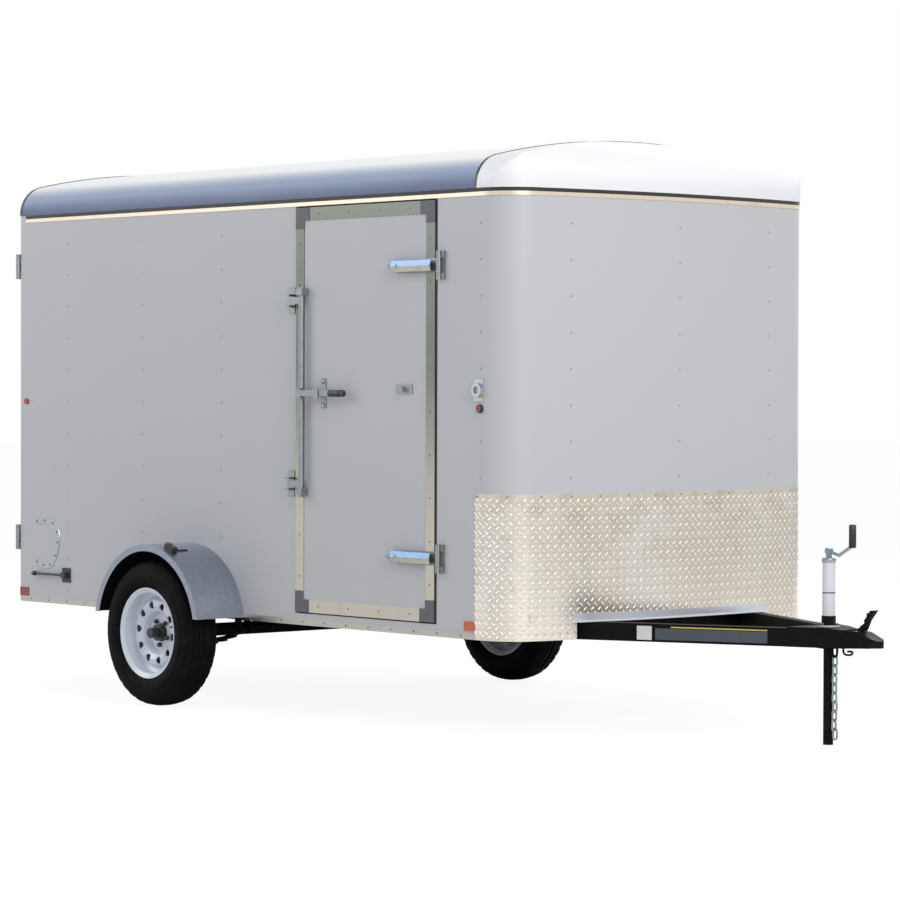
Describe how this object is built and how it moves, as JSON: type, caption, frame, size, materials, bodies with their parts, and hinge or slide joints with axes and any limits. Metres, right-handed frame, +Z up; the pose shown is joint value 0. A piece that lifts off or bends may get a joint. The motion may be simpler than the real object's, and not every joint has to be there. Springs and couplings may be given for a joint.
{
  "type": "enclosed cargo trailer",
  "caption": "Round-top enclosed cargo trailer with a side door, rear barn doors, sprung axle, steel A-frame, ball coupler and jack.",
  "frame": {"origin": "on the ground, under the middle of the whole trailer's length and width", "axes": "+X forward to the coupler, +Y to the left side, +Z up"},
  "size_m": [4.877, 2.372, 2.5298],
  "materials": {
    "wall_white": "white painted sheet",
    "roof_white": "bright white roof sheet",
    "cap_white": "moulded white cap",
    "frame_black": "satin black paint",
    "zinc": "zinc plated steel",
    "aluminium": "mill finish aluminium",
    "tread_plate": "polished tread plate",
    "galvanised": "galvanised sheet",
    "tyre": "black tyre",
    "rim_white": "white painted steel",
    "hub_dark": "oiled iron and dark cap",
    "plywood": "plywood",
    "red_lens": "red lens",
    "amber_lens": "amber lens",
    "black_trim": "black sealing strip",
    "jack_white": "white jack tube",
    "chain": "zinc plated chain"
  },
  "bodies": {
    "trailer": {"frame_rails": "frame_black", "cross_members": "frame_black", "tongue_rails": "frame_black", "coupler": "frame_black", "coupler_latch": "frame_black", "jack_tube": "jack_white", "jack_crank": "zinc", "safety_chain": "chain", "axle": "frame_black", "leaf_springs": "frame_black", "spring_hangers": "frame_black", "fender_right": "galvanised", "fender_left": "galvanised", "floor": "plywood", "wall_right": "wall_white", "wall_left": "wall_white", "wall_nose": "wall_white", "wall_lining": "plywood", "roof": "roof_white", "roof_cap": "cap_white", "roof_bows": "zinc", "rear_frame": "wall_white", "door_stop": "aluminium", "stone_guard": "tread_plate", "tongue_trim": "aluminium", "drip_rail": "black_trim", "eave_rail": "aluminium", "bottom_rails": "aluminium", "door_holders": "zinc", "hinge_butts": "zinc", "bar_keepers": "zinc", "red_lamps": "red_lens", "amber_lamps": "amber_lens", "plate_holder": "aluminium"},
    "side_door": {"side_door_edge": "aluminium", "side_door_panel": "wall_white", "side_door_straps": "zinc", "side_door_bar": "zinc", "side_door_stud": "zinc"},
    "jack_leg": {"jack_leg": "frame_black"},
    "rear_door_right": {"rear_door_right_edge": "aluminium", "rear_door_right_panel": "wall_white", "rear_door_right_straps": "zinc", "rear_door_right_bar": "zinc"},
    "wheel_right": {"tyre_right": "tyre", "rim_right": "rim_white", "hub_right": "hub_dark"},
    "rear_door_left": {"rear_door_left_edge": "aluminium", "rear_door_left_panel": "wall_white", "rear_door_left_straps": "zinc", "rear_door_left_bar": "zinc"},
    "wheel_left": {"tyre_left": "tyre", "rim_left": "rim_white", "hub_left": "hub_dark"}
  },
  "joints": [
    {"name": "wheel_right_spin", "type": "hinge", "parent": "trailer", "child": "wheel_right", "pos_m": [-0.9845, -1.086, 0.335], "axis": [0, 1, 0], "continuous": true},
    {"name": "wheel_left_spin", "type": "hinge", "parent": "trailer", "child": "wheel_left", "pos_m": [-0.9845, 1.086, 0.335], "axis": [0, 1, 0], "continuous": true},
    {"name": "side_door_swing", "type": "hinge", "parent": "trailer", "child": "side_door", "pos_m": [0.7745, -0.935, 1.36], "axis": [0, 0, 1], "range_deg": [0, 175]},
    {"name": "rear_door_right_swing", "type": "hinge", "parent": "trailer", "child": "rear_door_right", "pos_m": [-2.3995, -0.921, 1.36], "axis": [0, 0, 1], "range_deg": [0, 260]},
    {"name": "rear_door_left_swing", "type": "hinge", "parent": "trailer", "child": "rear_door_left", "pos_m": [-2.3995, 0.921, 1.36], "axis": [0, 0, -1], "range_deg": [0, 260]},
    {"name": "jack_leg_slide", "type": "slide", "parent": "trailer", "child": "jack_leg", "axis": [0, 0, 1], "range_m": [0, 0.23]}
  ]
}
